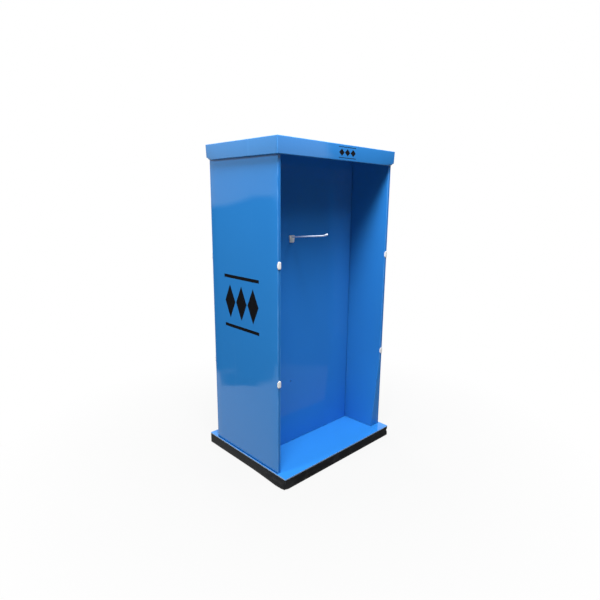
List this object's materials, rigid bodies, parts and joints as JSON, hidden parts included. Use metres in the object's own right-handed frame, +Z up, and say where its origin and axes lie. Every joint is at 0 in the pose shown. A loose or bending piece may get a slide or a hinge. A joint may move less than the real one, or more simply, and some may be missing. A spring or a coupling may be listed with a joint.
{
  "type": "cardboard display stand",
  "caption": "Free-standing floor display of folded blue board: hollow wedge side walls, hollow core panel with a hook, cap over the top, black base tray.",
  "frame": {"origin": "on the floor, under the middle of the base", "axes": "+Z up, -Y to the front where the hook is, +X to the right seen from the front"},
  "size_m": [0.886, 0.696, 1.75],
  "materials": {
    "blue_board": "blue print under a glossy film",
    "black_board": "black print under a satin film",
    "plain_board": "plain brown board",
    "hook_plastic": "moulded, off-white",
    "hook_metal": "white enamelled wire",
    "clip_plastic": "moulded, white"
  },
  "bodies": {
    "root": {"base_tray": "black_board", "long_divider_front": "plain_board", "long_divider_back": "plain_board", "cross_divider_left": "plain_board", "cross_divider_middle": "plain_board", "cross_divider_right": "plain_board", "floor_sheet": "blue_board", "left_wall": "blue_board", "right_wall": "blue_board", "core": "blue_board", "top_cap": "blue_board", "hook_plate": "hook_plastic", "hook_lock": "hook_plastic", "hook_rod": "hook_metal", "edge_clips": "clip_plastic"}
  },
  "joints": []
}
